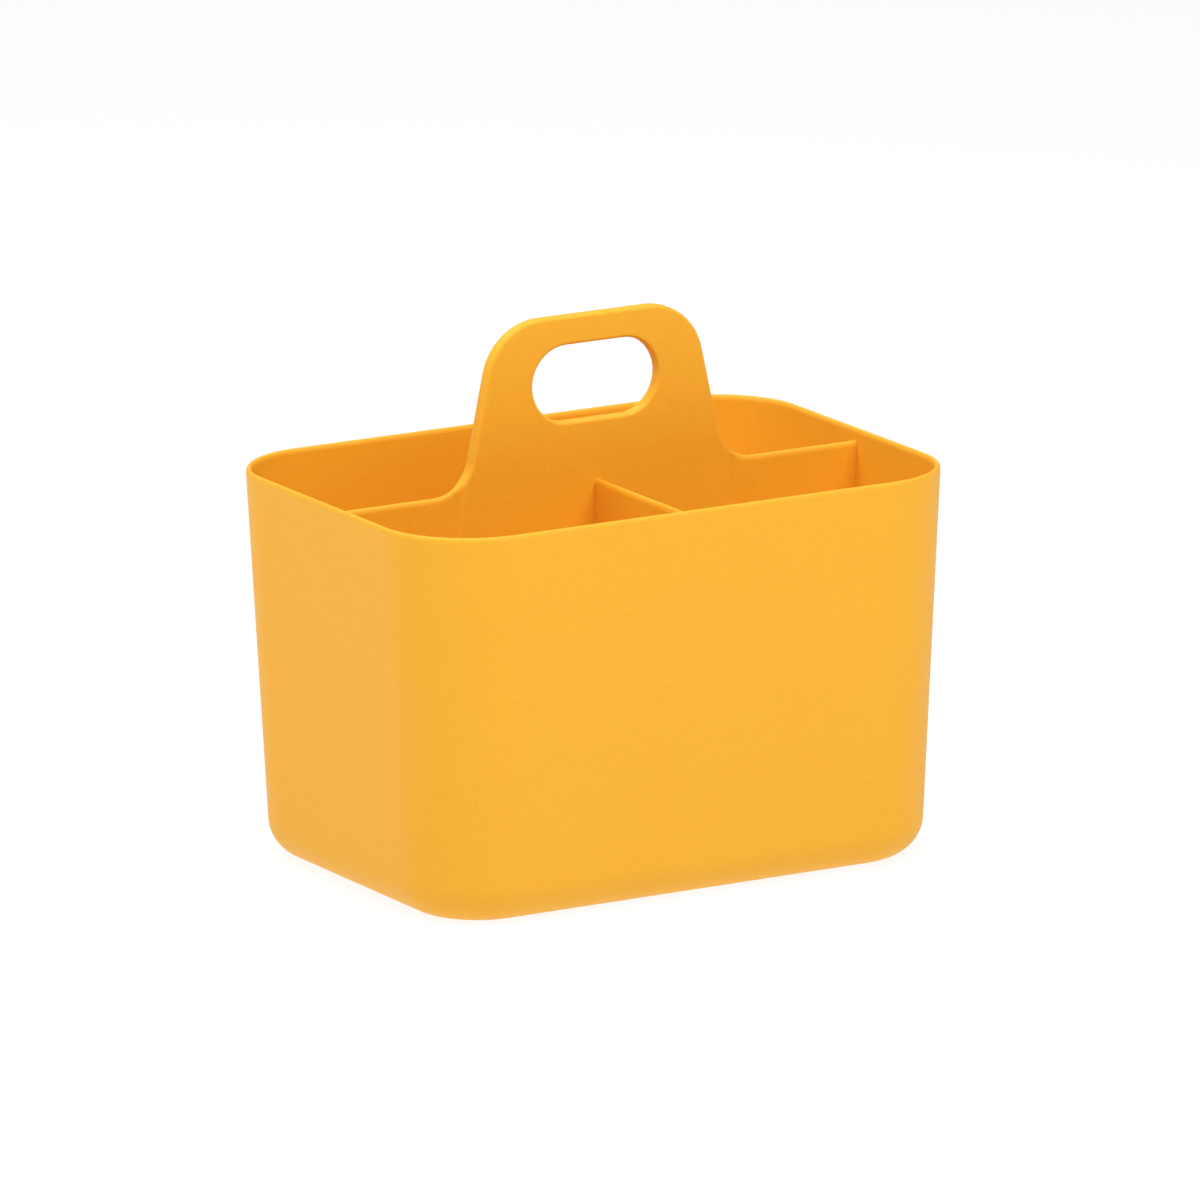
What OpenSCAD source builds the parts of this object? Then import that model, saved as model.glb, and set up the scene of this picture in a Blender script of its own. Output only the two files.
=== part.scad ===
// Cleaning caddy: a tapered open tub, a centre divider that carries the handle, and a short
// cross divider. Millimetres, +Z up, +X to the right, front wall on -Y.
// The origin is at the centre of the base, on the surface that the caddy stands on.

/* [Tub] */
// Outside width at the rim, left to right
rim_w = 234.2; // [215:0.1:260]
// Outside depth at the rim, front to back
rim_d = 168.7; // [150:0.1:190]
// Height of the rim
rim_h = 150; // [130:1:165]
// Plan radius of the corners at the rim
rim_corner_r = 36.3; // [32:0.1:44]
// Plan radius of the corners at the base
base_corner_r = 32.7; // [28:0.1:40]
// How far each end wall leans out from base to rim
end_lean = 7.3; // [3:0.1:10]
// How far the front and back walls lean out from base to rim
side_lean = 5.2; // [2:0.1:9]
// Outside radius of the edge between the walls and the base
base_edge_r = 14.1; // [8:0.1:16]
// Thickness of the walls and of the floor
wall_t = 2.4; // [2:0.1:3]
// Width of the flat ring that the tub stands on
foot_w = 6; // [4:0.5:9]
// Depth of the recess inside that ring
foot_h = 0.8; // [0.4:0.1:1.4]

/* [Dividers] */
// Height of the top of both dividers
divider_h = 145.5; // [120:0.5:148]
// Thickness of the centre divider's wings at their top
wing_t = 2.5; // [2:0.1:3.2]
// Thickness of the cross divider at its top
cross_t = 2.4; // [2:0.1:3.2]
// Extra thickness that draft gives a divider at its foot
divider_draft = 0.6; // [0.2:0.1:1]
// Depth of the seats that hold the dividers in the walls and the floor
seat_d = 0.8; // [0.4:0.1:1.2]

/* [Handle] */
// Height of the top of the handle
handle_h = 209; // [195:1:225]
// Width of the handle at its top, measured to the unrounded corners
handle_top_w = 84.9; // [78:0.1:96]
// Angle between each side of the handle and the vertical
handle_lean = 12; // [10:0.1:14.5]
// Radius of the handle's two top corners
handle_corner_r = 24; // [20:0.5:27]
// Thickness of the handle at its top
handle_top_t = 5; // [4.8:0.1:7]
// Thickness of the handle's column at the floor
handle_base_t = 8.4; // [7.8:0.1:10]
// Radius on the long edges of the handle
handle_edge_r = 1.5; // [1.2:0.1:2]
// Radius of the concave blend between a wing and the handle
blend_r = 16; // [10:0.5:20]
// Plastic left round the hollow core of the column
core_wall_t = 2.4; // [2:0.1:2.8]

/* [Hand hole] */
// Length of the hand hole
hole_l = 54; // [48:0.5:60]
// Height of the hand hole
hole_h = 29.5; // [26:0.5:32]
// Height of the bar that the hand closes on, above the hand hole
grip_h = 11.1; // [8:0.1:13]
// Radius on the rim of the hand hole
hole_edge_r = 1.3; // [0.8:0.1:2]

/* [Hidden] */

plastic = [0.965, 0.675, 0.17];
plastic_light = [0.98, 0.74, 0.27];
plastic_deep = [0.92, 0.59, 0.13];

// Steps round a corner in plan, round the base edge, and over the rim
corner_steps = 14;
edge_steps = 7;
rim_steps = 8;
round_fn = 64;
hull_fn = 40;
// How far a cutting shape runs past what it cuts
past = 5;
// How much thinner the blend web is than the wing that it grows out of
web_step = 0.1;
// Height of the thin discs that end the column's hull in its seat
foot_slice = 0.01;

floor_z = foot_h + wall_t;
floor_edge_r = base_edge_r - wall_t;
seat_z = floor_z - seat_d;
seat_edge_r = floor_edge_r + seat_d;
seat_inset = wall_t - seat_d;

hole_z = handle_h - grip_h - hole_h / 2;
handle_top_half = handle_top_w / 2;
column_foot_half = handle_half(seat_z);
corner_tangent = handle_corner_r / tan((90 + handle_lean) / 2);
blend_tangent = blend_r / tan((90 + handle_lean) / 2);
blend_x = handle_half(divider_h) + blend_tangent;
face_draft = atan((handle_base_t - handle_top_t) / 2 / (handle_h - seat_z));
core_top_z = hole_z - hole_h / 2 - 3 * core_wall_t;

// Outside half width and half depth of the tub at height z, before the base edge is rounded
function half_w(z) = rim_w / 2 - end_lean * (1 - z / rim_h);
function half_d(z) = rim_d / 2 - side_lean * (1 - z / rim_h);
function corner_r(z) = base_corner_r + (rim_corner_r - base_corner_r) * z / rim_h;

// Half width of the handle's column at height z, and its half thickness there
function handle_half(z) = handle_top_half + (handle_h - z) * tan(handle_lean);
function column_half_t(z) = handle_top_t / 2 + (handle_h - z) * tan(face_draft);

// One level loop of the tub: a rounded rectangle, set in from the outer wall by inset
function tub_loop(inset, z) =
    let (r = corner_r(z) - inset, x = half_w(z) - inset - r, y = half_d(z) - inset - r)
    [for (q = [0:3]) for (k = [0:corner_steps])
        let (a = 90 * q + 90 * k / corner_steps)
        [(q == 0 || q == 3 ? x : -x) + r * cos(a), (q < 2 ? y : -y) + r * sin(a), z]];

// A quarter round of radius r from a wall down to a floor: pairs of inset and height
function edge_round(inset, z, r) =
    [for (k = [0:edge_steps]) let (a = 90 * k / edge_steps) [inset + r * (1 - cos(a)), z + r * (1 - sin(a))]];

function reversed(list) = [for (k = [len(list) - 1:-1:0]) list[k]];

// The tub's section from the middle of the underside, out, over the rim and in to the floor
foot_in = base_edge_r + foot_w;
rim_r = wall_t / 2;
section = concat(
    [[foot_in + foot_h, foot_h], [foot_in, 0]],
    reversed(edge_round(0, 0, base_edge_r)),
    [for (k = [0:rim_steps]) let (a = 180 - 180 * k / rim_steps)
        [rim_r + rim_r * cos(a), rim_h - rim_r + rim_r * sin(a)]],
    edge_round(wall_t, floor_z, floor_edge_r));

// One lower corner of a divider's outline, in its seat: it follows the tub's width or its depth
function foot_corner(along_width) =
    [for (p = reversed(edge_round(seat_inset, seat_z, seat_edge_r)))
        [(along_width ? half_w(p[1]) : half_d(p[1])) - p[0], p[1]]];

module tub_shell() {
    rings = [for (p = section) tub_loop(p[0], p[1])];
    n = len(rings[0]);
    last = len(rings) - 1;
    polyhedron(
        points = [for (ring = rings) each ring],
        faces = concat(
            [[for (k = [0:n - 1]) k]],
            [for (j = [0:last - 1]) for (k = [0:n - 1])
                let (a = j * n + k, b = j * n + (k + 1) % n) each [[a, a + n, b], [b, a + n, b + n]]],
            [[for (k = [n - 1:-1:0]) last * n + k]]));
}

// Lays a drawing of X and Z upright, t thick and centred on Y
module upright_x(t) {
    rotate([90, 0, 0]) linear_extrude(height = t, center = true) children();
}

// Lays a drawing of Y and Z upright, t thick and centred on X
module upright_y(t) {
    rotate([90, 0, 90]) linear_extrude(height = t, center = true) children();
}

// End view of a divider: drafted faces and a fully rounded top
module divider_profile(t) {
    top = divider_h - t / 2;
    foot_half = t / 2 + divider_draft / 2;
    polygon([[-foot_half, 0], [foot_half, 0], [t / 2, top], [-t / 2, top]]);
    translate([0, top]) circle(d = t, $fn = round_fn);
}

// The wings: one thin wall from end wall to end wall, seated in both and in the floor
module wings() {
    side = concat(foot_corner(true), [[half_w(divider_h) - seat_inset, divider_h + past]]);
    mirrored = [for (p = reversed(side)) [-p[0], p[1]]];
    intersection() {
        upright_x(handle_base_t) polygon(concat(side, mirrored));
        upright_y(rim_w) divider_profile(wing_t);
    }
}

// The concave web that carries a wing's rounded top up into the side of the handle
module blend_web() {
    web_t = wing_t - web_step;
    reach = blend_r / 2;
    translate([blend_x, 0, divider_h + blend_r]) rotate([90, 0, 0]) rotate([0, 0, 180 + handle_lean])
        rotate_extrude(angle = 90 - handle_lean, $fn = round_fn) {
            translate([blend_r + wing_t / 2, 0]) circle(d = web_t, $fn = round_fn);
            translate([blend_r + wing_t / 2, -web_t / 2]) square([reach, web_t]);
        }
}

// A ring that rounds one top corner of the handle on one face
module corner_ring(side, face) {
    ring_z = handle_h - handle_corner_r;
    ring_y = column_half_t(ring_z) - handle_edge_r;
    translate([side * (handle_top_half - corner_tangent), face * ring_y, ring_z])
        rotate([90 + face * face_draft, 0, 0])
        rotate_extrude($fn = hull_fn) translate([handle_corner_r - handle_edge_r, 0])
        circle(r = handle_edge_r, $fn = hull_fn);
}

// The thick column, from its seat in the floor to the rounded top of the handle
module column() {
    foot_x = column_foot_half - handle_edge_r / cos(handle_lean);
    foot_y = column_half_t(seat_z) - handle_edge_r;
    hull()
        for (side = [-1, 1]) for (face = [-1, 1]) {
            corner_ring(side, face);
            translate([side * foot_x, face * foot_y, seat_z])
                cylinder(r = handle_edge_r, h = foot_slice, $fn = hull_fn);
        }
}

// Half section of the hand hole: distance from its centre line across, handle thickness up
module hole_profile() {
    lip = column_half_t(hole_z);
    r = hole_h / 2;
    difference() {
        translate([0, -lip - past]) square([r + hole_edge_r, 2 * (lip + past)]);
        translate([r, -lip + hole_edge_r]) square([2 * hole_edge_r, 2 * (lip - hole_edge_r)]);
        for (s = [-1, 1])
            translate([r + hole_edge_r, s * (lip - hole_edge_r)]) circle(r = hole_edge_r, $fn = round_fn);
    }
}

// The hand hole's space: a straight stretch between two round ends, flared at both faces
module hand_hole() {
    straight = hole_l - hole_h;
    translate([0, 0, hole_z]) rotate([90, 0, 0]) {
        for (s = [-1, 1])
            translate([s * straight / 2, 0, 0]) rotate_extrude($fn = round_fn) hole_profile();
        rotate([90, 0, 90]) linear_extrude(height = straight, center = true)
            for (s = [0, 1]) mirror([s, 0]) hole_profile();
    }
}

// The hollow inside the column, open at the bottom, below the hand hole
module column_core() {
    foot_half = column_foot_half - 2 * core_wall_t;
    top_half = handle_half(core_top_z) - 2 * core_wall_t;
    foot_t = column_half_t(seat_z) - core_wall_t;
    top_t = column_half_t(core_top_z) - core_wall_t;
    intersection() {
        upright_x(handle_base_t)
            polygon([[-foot_half, seat_z - past], [foot_half, seat_z - past],
                [top_half, core_top_z], [-top_half, core_top_z]]);
        upright_y(rim_w)
            polygon([[-foot_t, seat_z - past], [foot_t, seat_z - past],
                [top_t, core_top_z], [-top_t, core_top_z]]);
    }
}

// The cross divider's whole solid: it ends in seats in the front wall, the floor and the column
module cross_wall() {
    front = [for (p = foot_corner(false)) [-p[0], p[1]]];
    front_top = [-half_d(divider_h) + seat_inset, divider_h + past];
    back_top = [-column_half_t(divider_h) + seat_d, divider_h + past];
    back_foot = [-column_half_t(seat_z) + seat_d, seat_z];
    intersection() {
        upright_y(handle_base_t) polygon(concat(front, [front_top, back_top, back_foot]));
        upright_x(rim_d) divider_profile(cross_t);
    }
}

// The centre divider before its core and hand hole are taken out
module centre_wall() {
    wings();
    column();
    for (side = [0, 1]) mirror([side, 0, 0]) blend_web();
}

// The floor keeps its full thickness inside the column's hollow, which so locates the column
module tub() {
    color(plastic)
        difference() {
            tub_shell();
            difference() {
                centre_wall();
                column_core();
            }
            cross_wall();
        }
}

module handle_divider() {
    color(plastic_light)
        difference() {
            centre_wall();
            hand_hole();
            column_core();
            cross_wall();
        }
}

module cross_divider() {
    color(plastic_deep) cross_wall();
}

tub();
handle_divider();
cross_divider();
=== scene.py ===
import math

import bmesh
import bpy
from mathutils import Matrix, Vector


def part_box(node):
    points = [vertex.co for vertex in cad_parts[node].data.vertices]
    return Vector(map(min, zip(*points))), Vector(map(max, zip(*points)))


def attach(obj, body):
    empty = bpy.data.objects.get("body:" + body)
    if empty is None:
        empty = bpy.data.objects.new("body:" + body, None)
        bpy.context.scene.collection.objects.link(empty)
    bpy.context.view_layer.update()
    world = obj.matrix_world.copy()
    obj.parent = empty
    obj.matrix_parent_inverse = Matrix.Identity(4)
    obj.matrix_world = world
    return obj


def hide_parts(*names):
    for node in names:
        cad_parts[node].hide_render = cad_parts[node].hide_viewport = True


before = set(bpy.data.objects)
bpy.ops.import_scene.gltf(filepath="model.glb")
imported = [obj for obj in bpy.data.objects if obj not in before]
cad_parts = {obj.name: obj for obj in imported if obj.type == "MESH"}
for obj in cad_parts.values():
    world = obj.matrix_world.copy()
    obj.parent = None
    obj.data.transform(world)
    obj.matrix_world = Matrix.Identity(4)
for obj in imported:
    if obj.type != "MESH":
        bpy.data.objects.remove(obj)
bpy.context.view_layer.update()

MM = 0.001

# ---------------------------------------------------------------- sizes, in millimetres

# Read from the frame
TUB_LO, TUB_HI = (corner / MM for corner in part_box("tub"))
HANDLE_LO, HANDLE_HI = (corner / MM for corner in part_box("handle_divider"))
CROSS_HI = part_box("cross_divider")[1] / MM

# The tub: plan corners, the lean of the walls from base to rim, thickness, base edge and foot
RIM_CORNER_R = 36.3
BASE_CORNER_R = 32.7
END_LEAN = 7.3
SIDE_LEAN = 5.2
WALL_T = 2.4
BASE_EDGE_R = 14.1
FOOT_W = 6.0
FOOT_H = 0.8
FOOT_EDGE_R = 0.3
RIM_R = WALL_T / 2
RIM_H = TUB_HI.z
RIM_W = TUB_HI.x - TUB_LO.x + 2 * END_LEAN * RIM_R / RIM_H
RIM_D = TUB_HI.y - TUB_LO.y + 2 * SIDE_LEAN * RIM_R / RIM_H
FLOOR_Z = FOOT_H + WALL_T
FLOOR_EDGE_R = BASE_EDGE_R - WALL_T

# The seats that hold the dividers, and the gap left round them
SEAT_D = 0.8
SEAT_Z = FLOOR_Z - SEAT_D
SEAT_GAP = 0.03

# The dividers: height, thickness at the top and the extra that draft gives at the floor
DIVIDER_H = CROSS_HI.z
WING_T = 2.5
CROSS_T = 2.4
DIVIDER_DRAFT = 0.6

# The handle's thick column: half width at the top, lean of the sides, corner and edge radii, and
# thickness. CORNER_TAN is the tangent of half the angle between a leaning side and a level edge.
HANDLE_H = HANDLE_HI.z
HANDLE_TOP_HALF = 42.45
HANDLE_LEAN = math.radians(12.0)
HANDLE_CORNER_R = 24.0
HANDLE_EDGE_R = 1.5
HANDLE_TOP_T = 5.0
HANDLE_BASE_T = HANDLE_HI.y - HANDLE_LO.y
CORNER_TAN = math.tan((math.pi / 2 + HANDLE_LEAN) / 2)

# The hand hole: length, height, the grip's height above it and the round of its lips
HOLE_L = 54.0
HOLE_H = 29.5
GRIP_H = 11.1
HOLE_Z = HANDLE_H - GRIP_H - HOLE_H / 2
HOLE_EDGE_R = 1.3

# The hollow in the column: the plastic left on its faces, its sides and above it
CORE_WALL_T = 2.4
CORE_SIDE_T = 2 * CORE_WALL_T
CORE_ROOF_T = 3 * CORE_WALL_T
CORE_TOP_Z = HOLE_Z - HOLE_H / 2 - CORE_ROOF_T

# The concave blend from the column down to a wing, and how deep its upper end sinks in the column
BLEND_R = 16.0
BLEND_SINK = 0.02

# The soft step from the column's face to a wing's: its width, how much wider it is along the
# blend's edge, and how soon that fades below
STEP_W = 2.6
STEP_SPREAD = 6.4
STEP_FADE = 4.0

# How far the column flares out at the foot of the blend, at what height, and how soon that fades
FLARE = 3.2
FLARE_Z = 151.0
FLARE_FADE = 16.0

# How deep a wing's inner end lies under the column's face, and how far it reaches in past the blend
COVER = 0.02
WING_ROOT = 1.5 * HANDLE_EDGE_R

# How much taller than wide the rounding of a thin wall's top is
TOP_STRETCH = 1.8

# How far a cutting solid reaches past the surface that it opens: below the column, above the floor
CUT_BELOW = 5.0
CUT_ABOVE = 1.0

# How finely shapes are divided, and how strongly the points on a side crowd towards its top
CORNER_STEPS = 28
EDGE_STEPS = 14
RIM_STEPS = 16
ROUND_STEPS = 8
BLEND_STEPS = 72
WING_STEPS = 8
LEVEL_STEPS = 28
LEVEL_CROWD = 2.2
HANDLE_FOOT_STEPS = 12
HANDLE_SIDE_STEPS = 24
HANDLE_SIDE_CROWD = 1.7
HANDLE_CORNER_STEPS = 24
HANDLE_TOP_STEPS = 8
FACE_STEPS = 6

# The distance below which points are welded, the angle above which an edge is shaded sharp, and
# how much more a large face counts than a small one in shading, where 50 is neutral
WELD = 0.002
SHARP_ANGLE = math.radians(32.0)
NORMAL_WEIGHT = 80

# ---------------------------------------------------------------- widths, lines and curves


def half_w(z):
    """Outside half width of the tub at height z, before the base edge is rounded."""
    return RIM_W / 2 - END_LEAN * (1 - z / RIM_H)


def half_d(z):
    """Outside half depth of the tub at height z, before the base edge is rounded."""
    return RIM_D / 2 - SIDE_LEAN * (1 - z / RIM_H)


def handle_half(z):
    """Half width of the handle's column at height z."""
    return HANDLE_TOP_HALF + (HANDLE_H - z) * math.tan(HANDLE_LEAN)


def column_half_t(z):
    """Half thickness of the handle's column at height z."""
    return (HANDLE_TOP_T + (HANDLE_BASE_T - HANDLE_TOP_T) * (HANDLE_H - z) / (HANDLE_H - SEAT_Z)) / 2


def flare_line(z):
    """Half width at height z of the line where the column steps down to the wings."""
    return handle_half(z) + FLARE * math.exp(-max(0.0, FLARE_Z - z) / FLARE_FADE)


def blend_centre():
    """Half width at which the concave blend between the column and a wing is centred."""
    return handle_half(DIVIDER_H) + BLEND_R / CORNER_TAN - BLEND_SINK


def blend_z(x):
    """Height of the blend's or the wing's top edge at half width x."""
    reach = min(BLEND_R, max(0.0, blend_centre() - x))
    return DIVIDER_H + BLEND_R - math.sqrt(BLEND_R ** 2 - reach ** 2)


def wing_half_t(z):
    """Half thickness of the thin wings at height z."""
    return (WING_T + DIVIDER_DRAFT * (1 - z / DIVIDER_H)) / 2


def cross_half_t(z):
    """Half thickness of the cross divider at height z."""
    return (CROSS_T + DIVIDER_DRAFT * (1 - z / DIVIDER_H)) / 2


def step_half_t(x, z):
    """Half thickness at (x, z) of the soft step from the column's face down to the wing's."""
    width = STEP_W + STEP_SPREAD * math.exp(-max(0.0, blend_z(x) - z) / STEP_FADE)
    share = min(1.0, max(0.0, 0.5 + (x - flare_line(z)) / width))
    thick = column_half_t(z) - COVER
    return wing_half_t(z) + (thick - wing_half_t(z)) * (1 + math.cos(math.pi * share)) / 2


def seat_line(half, z, grow):
    """How far out a divider reaches into its seat at height z. half(z) is the tub's half size."""
    r = FLOOR_EDGE_R + SEAT_D
    drop = max(0.0, SEAT_Z - grow + r - z)
    return half(z) - WALL_T + SEAT_D + grow - r + math.sqrt(max(0.0, r * r - drop * drop))


def steps(count, start=0.0, end=1.0):
    """count + 1 even values from start to end."""
    return [start + (end - start) * k / count for k in range(count + 1)]


def quarter_round(r, count=ROUND_STEPS):
    """Points of a quarter circle of radius r between two lines, as distances from the lines."""
    return [(r * (1 - math.cos(a)), r * (1 - math.sin(a))) for a in steps(count, 0, math.pi / 2)]


def rounded_loop(x, y, r, z, count):
    """A level loop at height z whose corners are arcs of radius r round the points (+-x, +-y)."""
    points = []
    for quarter, (side_x, side_y) in enumerate(((1, 1), (-1, 1), (-1, -1), (1, -1))):
        for a in steps(count, quarter * math.pi / 2, (quarter + 1) * math.pi / 2):
            points.append((side_x * x + r * math.cos(a), side_y * y + r * math.sin(a), z))
    return points


def between(near, far, share):
    """The line that lies a share of the way from near(z) to far(z)."""
    return lambda z: near(z) + share * (far(z) - near(z))


def shifted(line, offset):
    """The line that lies at the distance offset from line(z)."""
    return lambda z: line(z) + offset


# ---------------------------------------------------------------- mesh helpers


def mesh_object(name, points, faces):
    """A mesh object from points in millimetres."""
    mesh = bpy.data.meshes.new(name)
    mesh.from_pydata([(x * MM, y * MM, z * MM) for x, y, z in points], [], faces)
    mesh.validate()
    piece = bpy.data.objects.new(name, mesh)
    bpy.context.scene.collection.objects.link(piece)
    return piece


def ring_faces(ring_count, ring_size, closed):
    """Quads between neighbouring rings, and from the last to the first where the surface closes."""
    faces = []
    for j in range(ring_count if closed else ring_count - 1):
        a, b = j * ring_size, (j + 1) % ring_count * ring_size
        for k in range(ring_size):
            n = (k + 1) % ring_size
            faces.append((a + k, a + n, b + n, b + k))
    return faces


def end_caps(ring_count, ring_size):
    """One face across the first ring and one across the last."""
    last = (ring_count - 1) * ring_size
    return [tuple(range(ring_size))[::-1], tuple(range(last, last + ring_size))]


def clean_up(piece):
    """Welds doubled points and turns every face outwards."""
    bm = bmesh.new()
    bm.from_mesh(piece.data)
    bmesh.ops.remove_doubles(bm, verts=bm.verts, dist=WELD * MM)
    bmesh.ops.dissolve_degenerate(bm, edges=bm.edges, dist=WELD * MM / 2)
    bmesh.ops.recalc_face_normals(bm, faces=bm.faces)
    bm.to_mesh(piece.data)
    bm.free()


def lofted_solid(name, rings, caps=(), closed=False):
    """A closed solid through rings of points, ended by the faces in caps or closed on itself."""
    faces = ring_faces(len(rings), len(rings[0]), closed) + list(caps)
    piece = mesh_object(name, [point for ring in rings for point in ring], faces)
    clean_up(piece)
    return piece


def join_solids(piece, tools, operation):
    """Unites piece with each tool, or cuts each tool from it, and removes the tools."""
    for tool in tools:
        modifier = piece.modifiers.new("solids", "BOOLEAN")
        modifier.operation = operation
        modifier.object = tool
        modifier.solver = "MANIFOLD"
        graph = bpy.context.evaluated_depsgraph_get()
        mesh = bpy.data.meshes.new_from_object(piece.evaluated_get(graph))
        piece.modifiers.clear()
        piece.data = mesh
        bpy.data.objects.remove(tool)
    clean_up(piece)
    return piece


def smooth(piece):
    """Smooth shading across tangent faces, sharp only at real edges, weighted by face area."""
    piece.data.shade_smooth()
    piece.data.set_sharp_from_angle(angle=SHARP_ANGLE)
    weighted = piece.modifiers.new("weighted_normals", "WEIGHTED_NORMAL")
    weighted.keep_sharp = True
    weighted.weight = NORMAL_WEIGHT


# ---------------------------------------------------------------- tub


def tub_loop(inset, z):
    """One level loop of the tub: a rounded rectangle, set in from the outer wall by inset."""
    r = BASE_CORNER_R + (RIM_CORNER_R - BASE_CORNER_R) * z / RIM_H - inset
    return rounded_loop(half_w(z) - inset - r, half_d(z) - inset - r, r, z, CORNER_STEPS)


def edge_round(inset, z, r):
    """Inset and height along a quarter round of radius r from a wall down to a floor."""
    return [(inset + across, z + up) for across, up in quarter_round(r, EDGE_STEPS)]


def tub_section():
    """The wall's section from the middle of the underside, over the rim and in to the floor."""
    foot_in = BASE_EDGE_R + FOOT_W
    bevel = FOOT_EDGE_R
    recess = [(foot_in + FOOT_H + bevel, FOOT_H), (foot_in + FOOT_H, FOOT_H - bevel / 3),
              (foot_in + bevel / 3, bevel), (foot_in - bevel, 0)]
    rim = [(RIM_R + RIM_R * math.cos(a), RIM_H + TOP_STRETCH * RIM_R * (math.sin(a) - 1))
           for a in steps(RIM_STEPS, math.pi, 0)]
    return recess + edge_round(0, 0, BASE_EDGE_R)[::-1] + rim + edge_round(WALL_T, FLOOR_Z, FLOOR_EDGE_R)


def make_tub():
    """The open tub, before the dividers' seats are cut into it."""
    rings = [tub_loop(inset, z) for inset, z in tub_section()]
    return lofted_solid("tub_shell", rings, end_caps(len(rings), len(rings[0])))


# ---------------------------------------------------------------- dividers


def top_rounding(edge_r):
    """Height of a wall's top rounding: stretched on a thin wall, and a true circle on the column."""
    return edge_r * (1 + (TOP_STRETCH - 1) * (HANDLE_EDGE_R - edge_r) / (HANDLE_EDGE_R - WING_T / 2))


def upright(name, stations, half_t, place, grow):
    """A drafted upright wall, lofted through its stations. A station is (edge, inward, along): the
    point of its top edge, the direction into the wall there, and a function of z that gives its
    place along the wall. half_t(along, z) is the half thickness, and place makes (x, y, z)."""
    low, r = SEAT_Z - grow, FLOOR_EDGE_R + SEAT_D
    rings = []
    for (edge_x, edge_z), (in_x, in_z), along in stations:
        edge_r = min(HANDLE_EDGE_R, half_t(edge_x, edge_z))
        edge_h = top_rounding(edge_r)
        top = edge_z + in_z * edge_h
        levels = [low + rise for rise, _ in quarter_round(r, EDGE_STEPS)]
        levels += [top - (top - low - r) * share ** LEVEL_CROWD for share in steps(LEVEL_STEPS, 1, 0)[1:-1]]
        side = [(along(z), z, 0.0) for z in levels]
        for a in steps(ROUND_STEPS, 0, math.pi / 2):
            inset = edge_h * (1 - math.sin(a))
            side.append((edge_x + in_x * inset, edge_z + in_z * inset, edge_r * (1 - math.cos(a))))
        front = [(x, half_t(x, z) + grow - fall, z) for x, z, fall in side]
        rings.append([place(x, -y, z) for x, y, z in front] + [place(x, y, z) for x, y, z in front[::-1]])
    size = len(rings[0])
    caps = []
    for start in (0, (len(rings) - 1) * size):
        caps += [(start + k, start + k + 1, start + size - 2 - k, start + size - 1 - k)
                 for k in range(size // 2 - 1)]
    return lofted_solid(name, rings, caps)


def make_wing(side, grow=0.0):
    """The thin wall out to one end wall, with its concave blend and soft step up to the column."""
    def near(z):
        return flare_line(z) + STEP_W / 2

    def far(z):
        return seat_line(half_w, z, grow)

    centre_x = blend_centre()
    edges = []
    for a in steps(BLEND_STEPS, math.pi + HANDLE_LEAN, 1.5 * math.pi):
        x, z = math.cos(a), math.sin(a)
        edges.append(((centre_x + (BLEND_R - grow) * x, DIVIDER_H + BLEND_R + (BLEND_R - grow) * z), (x, z)))
    (first_x, first_z), first_in = edges[0]
    edges.insert(0, ((first_x - WING_ROOT, first_z), first_in))
    edges += [((x, DIVIDER_H + grow), (0, -1)) for x in steps(WING_STEPS, centre_x, far(DIVIDER_H))[1:]]
    stations = []
    for edge, inward in edges:
        edge_h = top_rounding(min(HANDLE_EDGE_R, step_half_t(*edge)))
        foot_x, foot_z = edge[0] + inward[0] * edge_h, edge[1] + inward[1] * edge_h
        if foot_x < near(foot_z):
            along = shifted(flare_line, foot_x - flare_line(foot_z))
        else:
            along = between(near, far, min(1.0, (foot_x - near(foot_z)) / (far(foot_z) - near(foot_z))))
        stations.append((edge, inward, along))
    return upright("wing", stations, step_half_t, lambda along, across, z: (side * along, across, z), grow)


def make_cross(grow=0.0):
    """The short divider from the column to the front wall."""
    def near(z):
        return column_half_t(z) - SEAT_D - grow

    def far(z):
        return seat_line(half_d, z, grow)

    stations = []
    for share in steps(WING_STEPS):
        along = between(near, far, share)
        stations.append(((along(DIVIDER_H), DIVIDER_H + grow), (0, -1), along))
    return upright("cross_divider_plate", stations, lambda along, z: cross_half_t(z),
                   lambda along, across, z: (across, -along, z), grow)


# ---------------------------------------------------------------- handle


def handle_outline(inset):
    """The column's outline in X and Z, set in on the sides and the top but not at the floor."""
    shift = inset / math.cos(HANDLE_LEAN)
    r = HANDLE_CORNER_R - inset
    centre_x, centre_z = HANDLE_TOP_HALF - HANDLE_CORNER_R / CORNER_TAN, HANDLE_H - HANDLE_CORNER_R
    foot_x = handle_half(SEAT_Z) - shift
    side_x, side_z = centre_x + r * math.cos(HANDLE_LEAN), centre_z + r * math.sin(HANDLE_LEAN)
    foot = [(foot_x * t, SEAT_Z) for t in steps(HANDLE_FOOT_STEPS)[:-1]]
    side = [(foot_x + (side_x - foot_x) * t, SEAT_Z + (side_z - SEAT_Z) * t)
            for t in (1 - (1 - k) ** HANDLE_SIDE_CROWD for k in steps(HANDLE_SIDE_STEPS)[:-1])]
    arc = [(centre_x + r * math.cos(a), centre_z + r * math.sin(a))
           for a in steps(HANDLE_CORNER_STEPS, HANDLE_LEAN, math.pi / 2)]
    top = [(centre_x * (1 - t), centre_z + r) for t in steps(HANDLE_TOP_STEPS)[1:]]
    half = foot + side + arc + top
    return half + [(-x, z) for x, z in half[-2:0:-1]]


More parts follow.
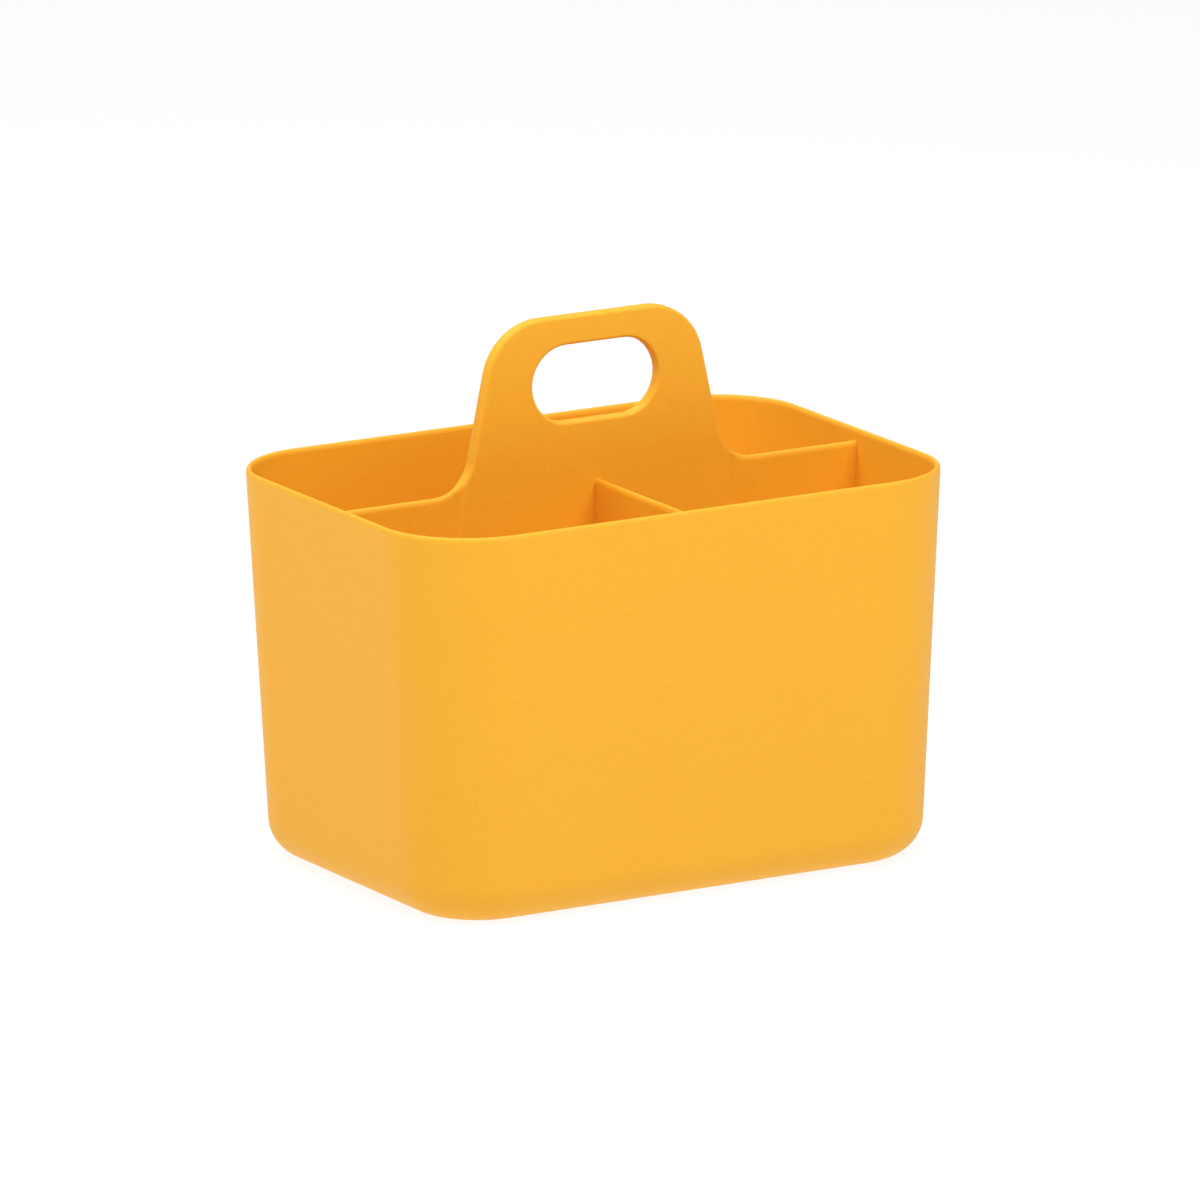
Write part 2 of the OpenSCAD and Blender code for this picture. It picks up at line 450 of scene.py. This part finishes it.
def hole_point(x, z, r):
    """The point of the hand hole's outline, of end radius r, that lies towards (x, z)."""
    straight = (HOLE_L - HOLE_H) / 2
    dx, dz = x, z - HOLE_Z
    if abs(dz) * straight >= abs(dx) * r:
        return dx * r / abs(dz), HOLE_Z + math.copysign(r, dz)
    a = dx * dx + dz * dz
    b = abs(dx) * straight
    t = (b + math.sqrt(b * b - a * (straight * straight - r * r))) / a
    return dx * t, HOLE_Z + dz * t


def make_column():
    """The thick tapered column with its rounded edges and the hand hole through it."""
    outer = handle_outline(0)
    # Loops on one side, from its edge in to the hole, each with its depth below the drafted face
    rim = [(handle_outline(inset), depth) for inset, depth in quarter_round(HANDLE_EDGE_R)]
    lip = [([hole_point(x, z, HOLE_H / 2 + outset) for x, z in outer], depth)
           for depth, outset in quarter_round(HOLE_EDGE_R)]
    inner, mouth = rim[-1][0], lip[0][0]
    face = []
    for t in steps(FACE_STEPS)[1:-1]:
        loop = [(x0 + (x1 - x0) * t, z0 + (z1 - z0) * t) for (x0, z0), (x1, z1) in zip(inner, mouth)]
        face.append((loop, 0))
    loops = rim + face + lip
    rings = []
    for side, side_loops in ((-1, loops), (1, loops[::-1])):
        for loop, depth in side_loops:
            rings.append([(x, side * (column_half_t(z) - depth), z) for x, z in loop])
    return lofted_solid("handle_divider_panel", rings, closed=True)


def make_core(grow=0.0):
    """The hollow inside the column, open at the bottom."""
    points = []
    for z, level in ((SEAT_Z - CUT_BELOW, SEAT_Z), (CORE_TOP_Z, CORE_TOP_Z)):
        x, y = handle_half(level) - CORE_SIDE_T + grow, column_half_t(level) - CORE_WALL_T + grow
        points += [(-x, -y, z), (x, -y, z), (x, y, z), (-x, y, z)]
    faces = [(3, 2, 1, 0), (4, 5, 6, 7), (0, 1, 5, 4), (1, 2, 6, 5), (2, 3, 7, 6), (3, 0, 4, 7)]
    return mesh_object("core", points, faces)


def make_column_seat():
    """The ring that the column's foot takes out of the tub's floor."""
    r = HANDLE_EDGE_R + SEAT_GAP
    rings = []
    for z in (SEAT_Z - SEAT_GAP, FLOOR_Z + CUT_ABOVE):
        x, y = handle_half(z) + SEAT_GAP - r, column_half_t(z) + SEAT_GAP - r
        rings.append(rounded_loop(x, y, r, z, ROUND_STEPS))
    seat = lofted_solid("column_seat", rings, end_caps(len(rings), len(rings[0])))
    return join_solids(seat, [make_core(-SEAT_GAP)], "DIFFERENCE")


def make_handle_divider():
    """The column with both wings, hollowed, and with the seat for the cross divider."""
    panel = make_column()
    join_solids(panel, [make_wing(1), make_wing(-1)], "UNION")
    join_solids(panel, [make_core(), make_cross(SEAT_GAP)], "DIFFERENCE")
    return panel


# ---------------------------------------------------------------- material

# The plastic's colour, index of refraction, strength of reflection and roughness
YELLOW = (0.95, 0.457, 0.027)
PLASTIC_IOR = 1.49
PLASTIC_SPECULAR = 0.25
PLASTIC_ROUGHNESS = 0.5

# How far each colour channel and the roughness wander either side of their values
SHADE_SPREAD = (0.05, 0.15, 0.4)
ROUGHNESS_SPREAD = 0.05

# Noises, each with its scale in features a metre and its detail: soft clouds, the moulded grain
# and a finer spark texture
CLOUD_SCALE = 22.0
CLOUD_DETAIL = 3.0
GRAIN_SCALE = 1200.0
GRAIN_DETAIL = 2.0
FINE_SCALE = 2600.0
FINE_DETAIL = 1.0

# The grain's share in the colour's variation, against the clouds, and its height and strength
GRAIN_SHARE = 0.85
GRAIN_H = 0.12
GRAIN_STRENGTH = 0.5


def link_noise(nodes, links, coordinates, scale, detail):
    """A noise node on the object's own coordinates."""
    noise = nodes.new("ShaderNodeTexNoise")
    noise.inputs["Scale"].default_value = scale
    noise.inputs["Detail"].default_value = detail
    links.new(coordinates.outputs["Object"], noise.inputs["Vector"])
    return noise


def link_math(nodes, links, operation, *values):
    """The output of a math node whose inputs are numbers or other nodes' outputs."""
    node = nodes.new("ShaderNodeMath")
    node.operation = operation
    for socket, value in zip(node.inputs, values):
        if isinstance(value, float):
            socket.default_value = value
        else:
            links.new(value, socket)
    return node.outputs[0]


def plastic(name, base, roughness):
    """Matte moulded polypropylene: even colour with a faint cloud and grain, fine spark texture."""
    material = bpy.data.materials.new(name)
    material.use_nodes = True
    nodes, links = material.node_tree.nodes, material.node_tree.links
    shader = nodes["Principled BSDF"]
    shader.inputs["IOR"].default_value = PLASTIC_IOR
    shader.inputs["Specular IOR Level"].default_value = PLASTIC_SPECULAR
    coordinates = nodes.new("ShaderNodeTexCoord")

    cloud = link_noise(nodes, links, coordinates, CLOUD_SCALE, CLOUD_DETAIL)
    grain = link_noise(nodes, links, coordinates, GRAIN_SCALE, GRAIN_DETAIL)
    fine = link_noise(nodes, links, coordinates, FINE_SCALE, FINE_DETAIL)

    shade = nodes.new("ShaderNodeMix")
    shade.data_type = "RGBA"
    shade.inputs["A"].default_value = (*[c * (1 - spread) for c, spread in zip(base, SHADE_SPREAD)], 1)
    shade.inputs["B"].default_value = (*[c * (1 + spread) for c, spread in zip(base, SHADE_SPREAD)], 1)
    cloud_part = link_math(nodes, links, "MULTIPLY", cloud.outputs["Fac"], 1 - GRAIN_SHARE)
    mottle = link_math(nodes, links, "MULTIPLY_ADD", grain.outputs["Fac"], GRAIN_SHARE, cloud_part)
    links.new(mottle, shade.inputs["Factor"])
    links.new(shade.outputs["Result"], shader.inputs["Base Color"])

    gloss = nodes.new("ShaderNodeMapRange")
    gloss.inputs["To Min"].default_value = roughness - ROUGHNESS_SPREAD
    gloss.inputs["To Max"].default_value = roughness + ROUGHNESS_SPREAD
    links.new(cloud.outputs["Fac"], gloss.inputs["Value"])
    links.new(gloss.outputs["Result"], shader.inputs["Roughness"])

    texture = link_math(nodes, links, "ADD", grain.outputs["Fac"], fine.outputs["Fac"])
    bump = nodes.new("ShaderNodeBump")
    bump.inputs["Strength"].default_value = GRAIN_STRENGTH
    bump.inputs["Distance"].default_value = GRAIN_H * MM
    links.new(texture, bump.inputs["Height"])
    links.new(bump.outputs["Normal"], shader.inputs["Normal"])
    return material


# ---------------------------------------------------------------- the object

tub = make_tub()
seats = [make_wing(1, SEAT_GAP), make_wing(-1, SEAT_GAP), make_cross(SEAT_GAP), make_column_seat()]
join_solids(tub, seats, "DIFFERENCE")
handle = make_handle_divider()
cross = make_cross()

for piece, node, slot in ((tub, "tub", "tub_plastic"), (handle, "handle_divider", "handle_plastic"),
                          (cross, "cross_divider", "divider_plastic")):
    smooth(piece)
    piece.data.materials.clear()
    piece.data.materials.append(plastic(slot, YELLOW, PLASTIC_ROUGHNESS))
    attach(piece, "root")
    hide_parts(node)

# ---------------------------------------------------------------- stage, light and camera

# The floor: radius in metres, sides, how strongly it glows, its grey and its roughness
FLOOR_R = 12.0
FLOOR_SIDES = 64
FLOOR_GLOW = 0.88
FLOOR_PAINT = 0.15
FLOOR_ROUGHNESS = 0.9

# The light from all round, and the point in metres that the soft lights look at
WORLD_GLOW = 0.28
LIT_CENTRE = Vector((0, 0, 0.1))

# The camera as worked out from the photograph's outline: angles, metres, and lens in millimetres
CAMERA_AZIMUTH = math.radians(-29.916)
CAMERA_ELEVATION = math.radians(13.638)
CAMERA_ROLL = math.radians(-0.4134)
CAMERA_DISTANCE = 6.0331
CAMERA_TARGET = Vector((0.00258, 0, 0.09755))
CAMERA_LENS = 481.76
CAMERA_SENSOR = 36.0
CAMERA_FAR = 100.0


def make_floor():
    """A pale matte floor, lit from within a little so that it stays even."""
    rim = [(FLOOR_R * math.cos(a), FLOOR_R * math.sin(a), 0) for a in steps(FLOOR_SIDES, 0, math.tau)[:-1]]
    mesh = bpy.data.meshes.new("floor")
    mesh.from_pydata(rim, [], [tuple(range(len(rim)))])
    floor = bpy.data.objects.new("floor", mesh)
    bpy.context.scene.collection.objects.link(floor)
    material = bpy.data.materials.new("floor_paint")
    material.use_nodes = True
    shader = material.node_tree.nodes["Principled BSDF"]
    shader.inputs["Base Color"].default_value = (FLOOR_PAINT, FLOOR_PAINT, FLOOR_PAINT, 1)
    shader.inputs["Roughness"].default_value = FLOOR_ROUGHNESS
    shader.inputs["Specular IOR Level"].default_value = 0.0
    shader.inputs["Emission Color"].default_value = (1, 1, 1, 1)
    shader.inputs["Emission Strength"].default_value = FLOOR_GLOW
    mesh.materials.append(material)


def make_world():
    """Even white light from all round."""
    world = bpy.data.worlds.new("studio")
    world.use_nodes = True
    background = world.node_tree.nodes["Background"]
    background.inputs["Color"].default_value = (1, 1, 1, 1)
    background.inputs["Strength"].default_value = WORLD_GLOW
    bpy.context.scene.world = world


def direction(azimuth, elevation):
    """The unit vector towards azimuth and elevation in radians. Azimuth 0 is the front, -Y."""
    level = math.cos(elevation)
    return Vector((math.sin(azimuth) * level, -math.cos(azimuth) * level, math.sin(elevation)))


def softbox(name, azimuth, elevation, distance, size, power):
    """A square soft light that looks at the object from azimuth and elevation in degrees."""
    light = bpy.data.lights.new(name, "AREA")
    light.shape = "SQUARE"
    light.size = size
    light.energy = power
    lamp = bpy.data.objects.new(name, light)
    back = direction(math.radians(azimuth), math.radians(elevation))
    lamp.location = LIT_CENTRE + back * distance
    lamp.rotation_euler = back.to_track_quat("Z", "Y").to_euler()
    bpy.context.scene.collection.objects.link(lamp)


def make_camera():
    """A long lens from the front left, a little above the rim."""
    back = direction(CAMERA_AZIMUTH, CAMERA_ELEVATION)
    level_right = Vector((0, 0, 1)).cross(back).normalized()
    level_up = back.cross(level_right)
    right = math.cos(CAMERA_ROLL) * level_right + math.sin(CAMERA_ROLL) * level_up
    up = math.cos(CAMERA_ROLL) * level_up - math.sin(CAMERA_ROLL) * level_right
    data = bpy.data.cameras.new("camera")
    data.sensor_width = CAMERA_SENSOR
    data.lens = CAMERA_LENS
    data.clip_end = CAMERA_FAR
    camera = bpy.data.objects.new("camera", data)
    turn = Matrix((right, up, back)).transposed().to_4x4()
    camera.matrix_world = Matrix.Translation(CAMERA_TARGET + back * CAMERA_DISTANCE) @ turn
    bpy.context.scene.collection.objects.link(camera)
    bpy.context.scene.camera = camera


make_floor()
make_world()
softbox("front_key", azimuth=9, elevation=55, distance=1.7, size=1.2, power=20.4)
softbox("left_fill", azimuth=-95, elevation=50, distance=1.7, size=1.2, power=13.5)
softbox("back_fill", azimuth=180, elevation=60, distance=1.7, size=1.3, power=10.1)
make_camera()
bpy.context.scene.view_settings.view_transform = "Standard"
